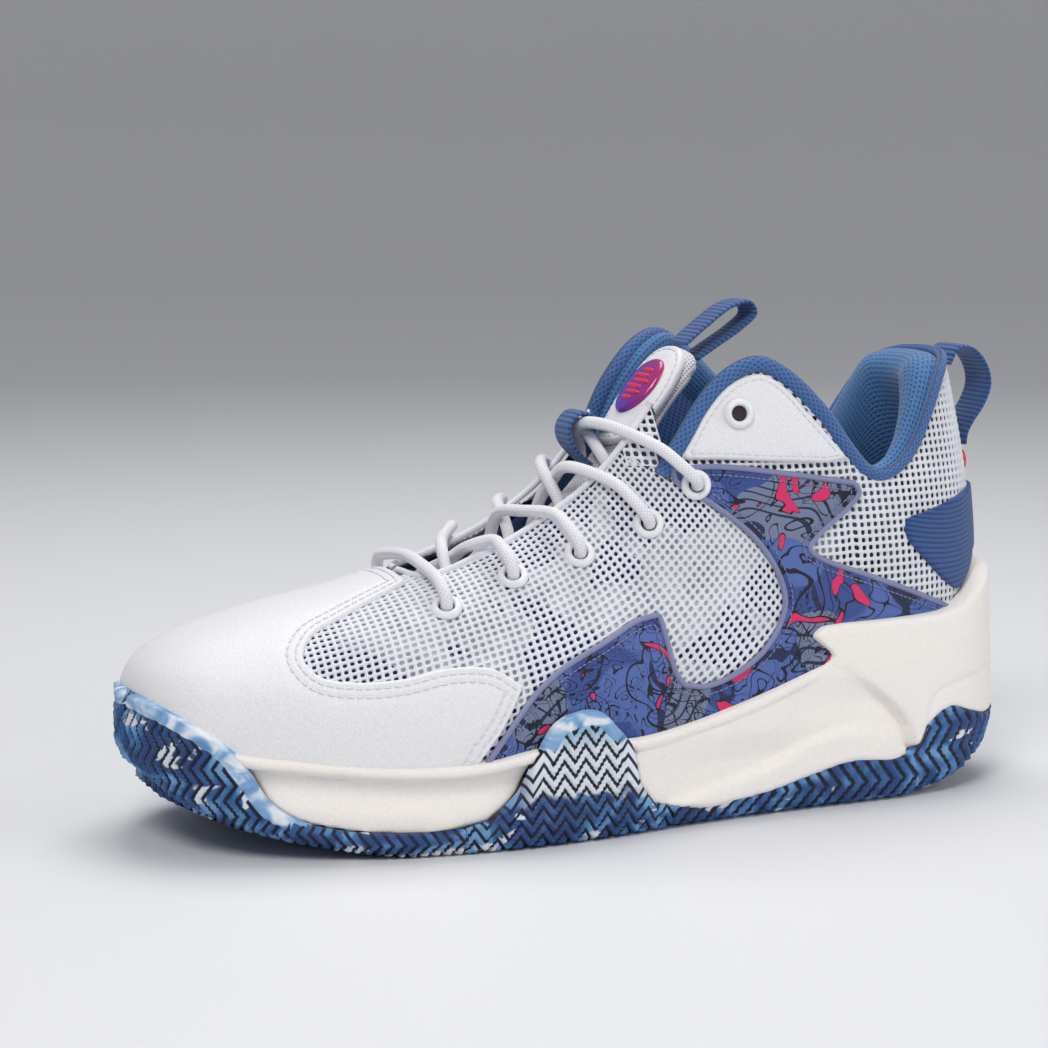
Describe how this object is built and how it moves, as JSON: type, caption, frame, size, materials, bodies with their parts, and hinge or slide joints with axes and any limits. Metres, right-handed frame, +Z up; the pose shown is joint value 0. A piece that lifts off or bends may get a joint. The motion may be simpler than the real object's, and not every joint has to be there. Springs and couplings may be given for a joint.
{
  "type": "basketball high top",
  "caption": "Left high-top sports shoe: cupped foam sole with rubber wraps, net-mesh upper with printed side panels, padded flaps, laced tongue and pull loops.",
  "frame": {"origin": "Middle of the bounding box in plan, on the floor plane the sole stands on.", "axes": "+X runs from the toe to the heel, -Y is the outer (lateral) side of this left shoe, +Z is up."},
  "size_m": [0.3046, 0.108, 0.1624],
  "materials": {
    "outsole_rubber": "marbled navy, mid-blue and pale blue rubber, satin",
    "midsole_foam": "off-white moulded foam, matt",
    "moulded_plastic": "stiff moulded sheet, hidden",
    "board": "non-woven board, hidden",
    "blue_textile": "blue knitted mesh",
    "white_textile": "white net mesh over a navy and white print",
    "grey_textile": "light grey coated textile",
    "white_leather": "smooth white synthetic leather, stitched",
    "printed_overlay": "thin coated overlay with an abstract blue, black and pink print",
    "heel_rubber": "blue ribbed overlay",
    "blue_webbing": "ribbed woven tape",
    "eyelet_plastic": "white moulded rings",
    "lace_cord": "round white braided cord",
    "badge": "glossy domed badge, red over violet"
  },
  "bodies": {
    "shoe": {"outsole": "outsole_rubber", "shank_plate": "moulded_plastic", "midsole": "midsole_foam", "strobel_board": "board", "sockliner": "blue_textile", "lining": "white_textile", "collar_padding": "blue_textile", "collar_binding": "blue_textile", "toe_puff": "board", "heel_counter": "moulded_plastic", "heel_mesh": "white_textile", "vamp": "white_leather", "heel_patch": "heel_rubber", "heel_badge": "badge", "quarter_mesh_lateral": "white_textile", "quarter_mesh_medial": "white_textile", "print_panel_lateral": "printed_overlay", "print_panel_medial": "printed_overlay", "ankle_patch_lateral": "white_leather", "ankle_patch_medial": "white_leather", "eyelet_lateral_1": "eyelet_plastic", "eyelet_lateral_2": "eyelet_plastic", "eyelet_lateral_3": "eyelet_plastic", "eyelet_lateral_4": "eyelet_plastic", "eyelet_lateral_5": "eyelet_plastic", "eyelet_lateral_6": "eyelet_plastic", "eyelet_medial_1": "eyelet_plastic", "eyelet_medial_2": "eyelet_plastic", "eyelet_medial_3": "eyelet_plastic", "eyelet_medial_4": "eyelet_plastic", "eyelet_medial_5": "eyelet_plastic", "eyelet_medial_6": "eyelet_plastic", "tongue_lower": "white_textile", "throat_tab": "grey_textile", "lace_keeper": "blue_webbing", "lace": "lace_cord", "lace_aglet_lateral": "lace_cord", "lace_aglet_medial": "lace_cord", "heel_pull_loop": "blue_webbing"},
    "tongue": {"tongue_pad": "white_textile", "tongue_badge_patch": "white_leather", "tongue_badge": "badge"},
    "tongue_loop": {"tongue_pull_loop": "blue_webbing"}
  },
  "joints": [
    {"name": "tongue_flex", "type": "hinge", "parent": "shoe", "child": "tongue", "pos_m": [0.0098, 0, 0.1192], "axis": [0, -1, 0], "range_deg": [-10, 25], "stiffness_Nm_per_rad": 0.15},
    {"name": "tongue_loop_flex", "type": "hinge", "parent": "tongue", "child": "tongue_loop", "pos_m": [0.0366, 0, 0.1454], "axis": [0, -1, 0], "range_deg": [-20, 20], "stiffness_Nm_per_rad": 0.01}
  ]
}
